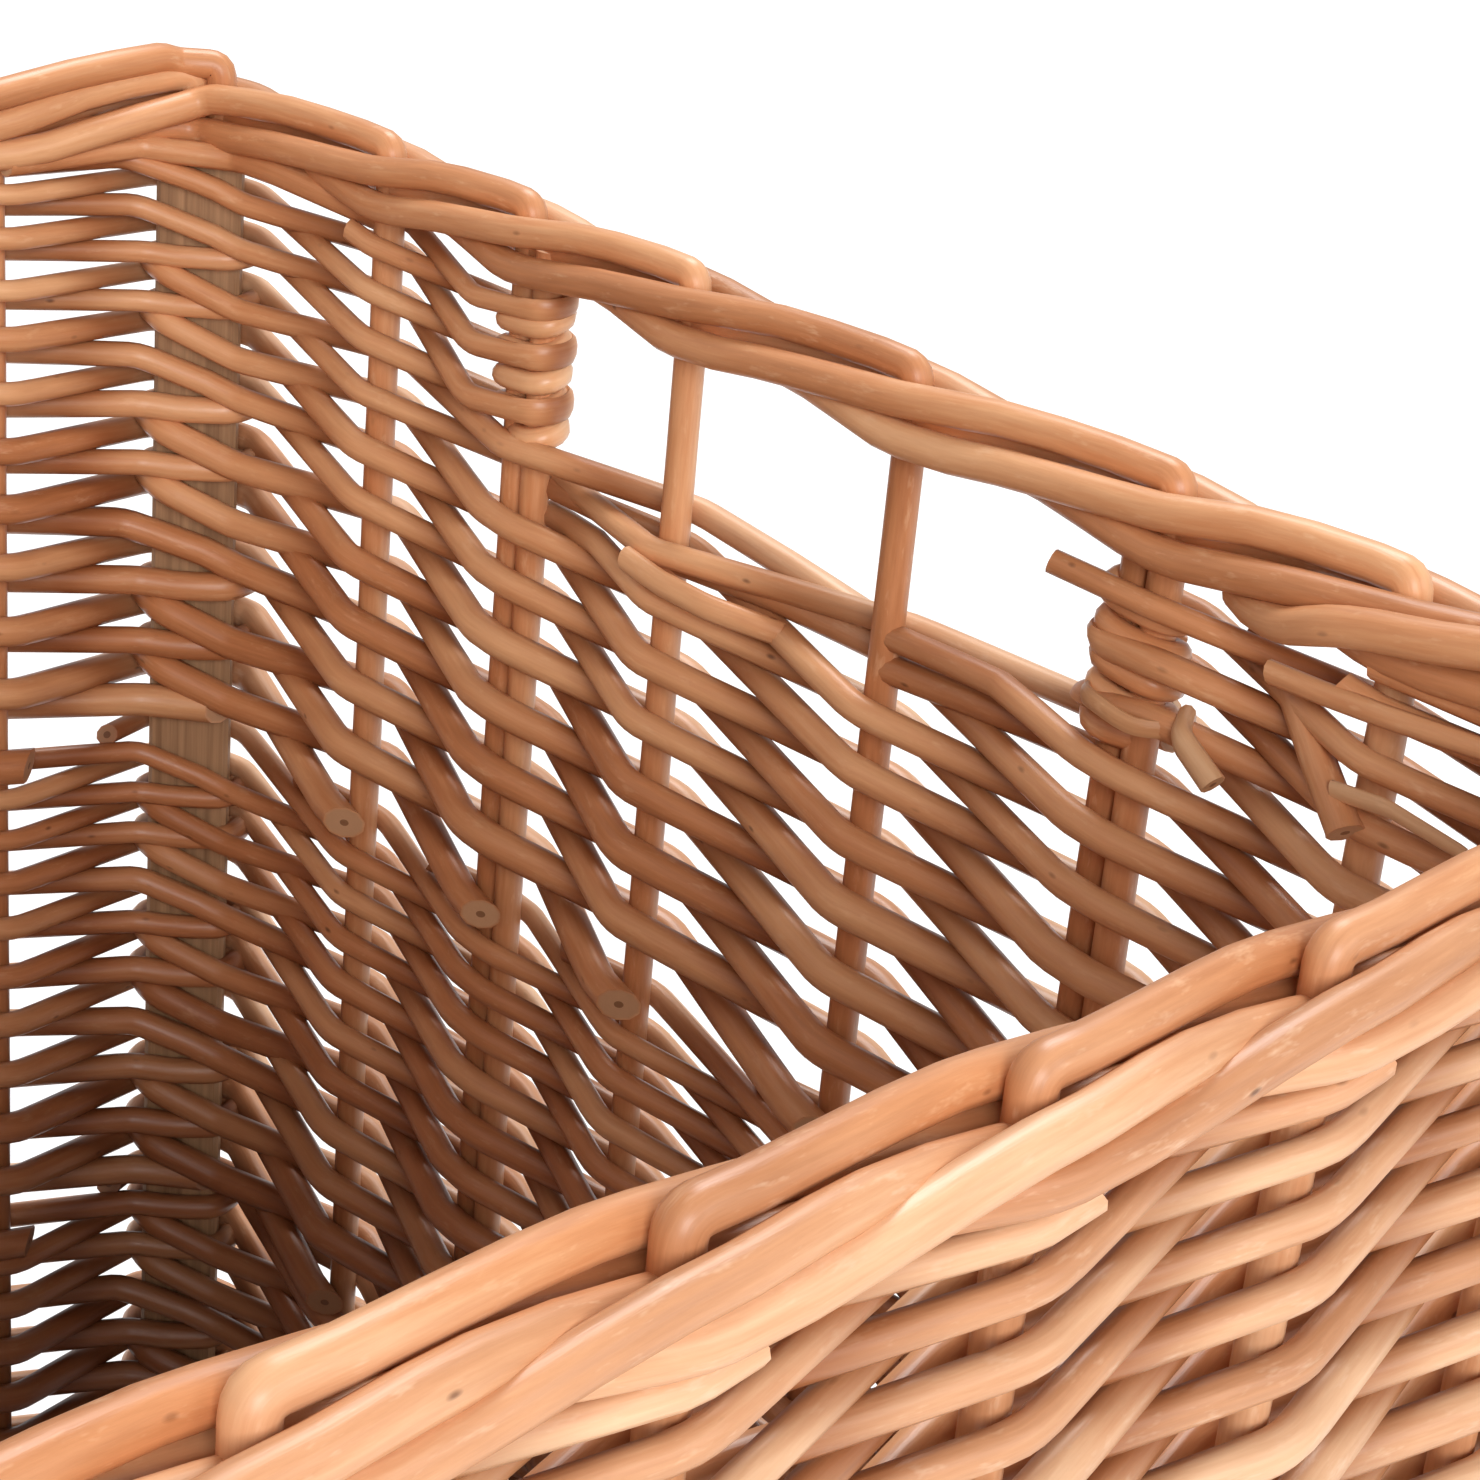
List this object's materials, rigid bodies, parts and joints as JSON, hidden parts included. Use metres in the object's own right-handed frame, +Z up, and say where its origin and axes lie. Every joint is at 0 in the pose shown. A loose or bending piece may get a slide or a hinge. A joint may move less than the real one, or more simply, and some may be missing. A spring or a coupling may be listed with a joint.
{
  "type": "wicker storage basket",
  "caption": "Rectangular woven willow basket with corner laths, a rolled border of bent stakes, and a hand hole in each end wall.",
  "frame": {"origin": "on the floor, under the middle of the basket", "axes": "+X along the long walls, +Y across, +Z up"},
  "size_m": [0.6114, 0.4712, 0.4199],
  "materials": {
    "willow_stake": "satin buff willow",
    "willow_weave": "satin buff willow",
    "willow_winding": "satin, lighter where it is bent",
    "corner_lath": "sawn lath with fine grain",
    "base_weave": "satin buff willow",
    "base_stick": "whole rod"
  },
  "bodies": {
    "root": {"stake_right_end_1": "willow_stake", "stake_right_end_2": "willow_stake", "stake_right_end_3": "willow_stake", "stake_right_end_4": "willow_stake", "stake_right_end_5": "willow_stake", "stake_right_end_6": "willow_stake", "stake_left_end_1": "willow_stake", "stake_left_end_2": "willow_stake", "stake_left_end_3": "willow_stake", "stake_left_end_4": "willow_stake", "stake_left_end_5": "willow_stake", "stake_left_end_6": "willow_stake", "stake_back_1": "willow_stake", "stake_back_2": "willow_stake", "stake_back_3": "willow_stake", "stake_back_4": "willow_stake", "stake_back_5": "willow_stake", "stake_back_6": "willow_stake", "stake_back_7": "willow_stake", "stake_back_8": "willow_stake", "stake_back_9": "willow_stake", "stake_front_1": "willow_stake", "stake_front_2": "willow_stake", "stake_front_3": "willow_stake", "stake_front_4": "willow_stake", "stake_front_5": "willow_stake", "stake_front_6": "willow_stake", "stake_front_7": "willow_stake", "stake_front_8": "willow_stake", "stake_front_9": "willow_stake", "corner_stake_back_right": "willow_stake", "corner_stake_back_left": "willow_stake", "corner_stake_front_left": "willow_stake", "corner_stake_front_right": "willow_stake", "corner_rod_back_right": "willow_stake", "corner_rod_back_left": "willow_stake", "corner_rod_front_left": "willow_stake", "corner_rod_front_right": "willow_stake", "by_stake_right_end_2": "willow_stake", "by_stake_right_end_5": "willow_stake", "by_stake_left_end_2": "willow_stake", "by_stake_left_end_5": "willow_stake", "winding_right_end_2": "willow_winding", "winding_right_end_5": "willow_winding", "winding_left_end_2": "willow_winding", "winding_left_end_5": "willow_winding", "corner_lath_back_right": "corner_lath", "corner_lath_back_left": "corner_lath", "corner_lath_front_left": "corner_lath", "corner_lath_front_right": "corner_lath", "weave_back": "willow_weave", "weave_front": "willow_weave", "weave_right_end": "willow_weave", "weave_left_end": "willow_weave", "bottom_wale": "willow_weave", "base_weave": "base_weave", "base_stick_1": "base_stick", "base_stick_2": "base_stick", "base_stick_3": "base_stick", "base_stick_4": "base_stick"}
  },
  "joints": []
}
